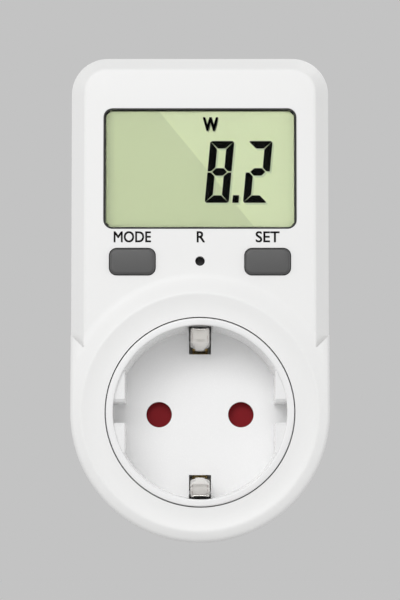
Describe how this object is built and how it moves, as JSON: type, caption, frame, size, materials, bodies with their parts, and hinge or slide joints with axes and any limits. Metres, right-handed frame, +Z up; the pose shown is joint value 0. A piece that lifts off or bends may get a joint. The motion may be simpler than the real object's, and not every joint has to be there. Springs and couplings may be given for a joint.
{
  "type": "plug-in power meter",
  "caption": "Plug-in energy meter: wall-plug rear, earthed round socket with collar in front, LCD window, soft-edged keys and a recessed reset.",
  "frame": {"origin": "centre of the rear plug's mating face, between its two pins", "axes": "+Y along the plug pins into the wall outlet, +Z up along the housing, +X to the right of someone facing the display, which looks along -Y"},
  "size_m": [0.059, 0.0777, 0.1111],
  "materials": {
    "white_housing": "satin gloss",
    "white_socket": "gloss",
    "red_shutter": "matt",
    "inner_plastic": "matt",
    "grey_key": "fine matt",
    "black_plastic": "matt",
    "black_rubber": "matt",
    "clear_pane": "clear gloss",
    "lcd": "satin",
    "nickel": "bright nickel plate",
    "brass": "drawn",
    "steel": "zinc plated",
    "circuit_board": "solder mask",
    "component_blue": "gloss",
    "component_yellow": "gloss",
    "fuse_ceramic": "ceramic",
    "battery_green": "shrink sleeve",
    "wire_brown": "insulation",
    "wire_blue": "insulation",
    "wire_grey": "insulation"
  },
  "bodies": {
    "housing": {"front_cover": "white_housing", "rear_cover": "white_housing", "socket_insert": "white_socket", "shutter_spring": "steel", "shutter_retainer": "inner_plastic", "contact_carrier": "inner_plastic", "line_contact": "brass", "neutral_contact": "brass", "earth_strap": "brass", "plug_earth_bracket": "nickel", "earth_post": "brass", "retainer_screws": "steel", "line_pin": "nickel", "neutral_pin": "nickel", "pin_holder": "black_plastic", "window_gasket": "black_rubber", "display_window": "clear_pane", "lcd_glass": "lcd", "lcd_holder": "inner_plastic", "elastomer_connector": "black_rubber", "main_board": "circuit_board", "main_board_screws": "steel", "controller_chip": "black_plastic", "crystal": "steel", "battery_cells": "battery_green", "battery_tabs": "steel", "mode_switch": "black_plastic", "set_switch": "black_plastic", "reset_switch": "black_plastic", "power_board": "circuit_board", "power_board_screws": "steel", "film_capacitor": "component_yellow", "electrolytic_capacitor": "black_plastic", "varistor": "component_blue", "fuse": "fuse_ceramic", "fuse_clips": "steel", "bridge_rectifier": "black_plastic", "shunt_resistor": "brass", "board_headers": "inner_plastic", "ribbon_cable": "wire_grey", "line_wire": "wire_brown", "load_wire": "wire_brown", "neutral_wire": "wire_blue", "case_screws": "steel"},
    "shutter_body": {"shutter": "red_shutter"},
    "upper_clip_body": {"upper_earth_clip": "nickel"},
    "lower_clip_body": {"lower_earth_clip": "nickel"},
    "mode_key_body": {"mode_key": "grey_key"},
    "set_key_body": {"set_key": "grey_key"},
    "mode_plunger_body": {"mode_plunger": "inner_plastic"},
    "set_plunger_body": {"set_plunger": "inner_plastic"},
    "reset_plunger_body": {"reset_plunger": "black_plastic"}
  },
  "joints": [
    {"name": "mode_press", "type": "slide", "parent": "housing", "child": "mode_key_body", "axis": [0, 1, 0], "range_m": [0, 0.0005], "stiffness_N_per_m": 1500, "springref_m": -0.0006},
    {"name": "set_press", "type": "slide", "parent": "housing", "child": "set_key_body", "axis": [0, 1, 0], "range_m": [0, 0.0005], "stiffness_N_per_m": 1500, "springref_m": -0.0006},
    {"name": "mode_plunger_press", "type": "slide", "parent": "housing", "child": "mode_plunger_body", "axis": [0, 1, 0], "range_m": [0, 0.0005]},
    {"name": "set_plunger_press", "type": "slide", "parent": "housing", "child": "set_plunger_body", "axis": [0, 1, 0], "range_m": [0, 0.0005]},
    {"name": "reset_press", "type": "slide", "parent": "housing", "child": "reset_plunger_body", "axis": [0, 1, 0], "range_m": [0, 0.0003], "stiffness_N_per_m": 2000, "springref_m": -0.0005},
    {"name": "shutter_turn", "type": "hinge", "parent": "housing", "child": "shutter_body", "pos_m": [0, -0.037, 0], "axis": [0, -1, 0], "range_deg": [0, 48], "stiffness_Nm_per_rad": 0.02, "springref_deg": -22.92},
    {"name": "upper_clip_flex", "type": "hinge", "parent": "housing", "child": "upper_clip_body", "pos_m": [0, -0.031, 0.0146], "axis": [-1, 0, 0], "range_deg": [0, 2.2], "stiffness_Nm_per_rad": 2, "springref_deg": -1.15},
    {"name": "lower_clip_flex", "type": "hinge", "parent": "housing", "child": "lower_clip_body", "pos_m": [0, -0.031, -0.0146], "axis": [1, 0, 0], "range_deg": [0, 2.2], "stiffness_Nm_per_rad": 2, "springref_deg": -1.15}
  ],
  "couplings": [
    {"joint": "mode_plunger_press", "follows": "mode_press", "ratio": 1},
    {"joint": "set_plunger_press", "follows": "set_press", "ratio": 1}
  ]
}
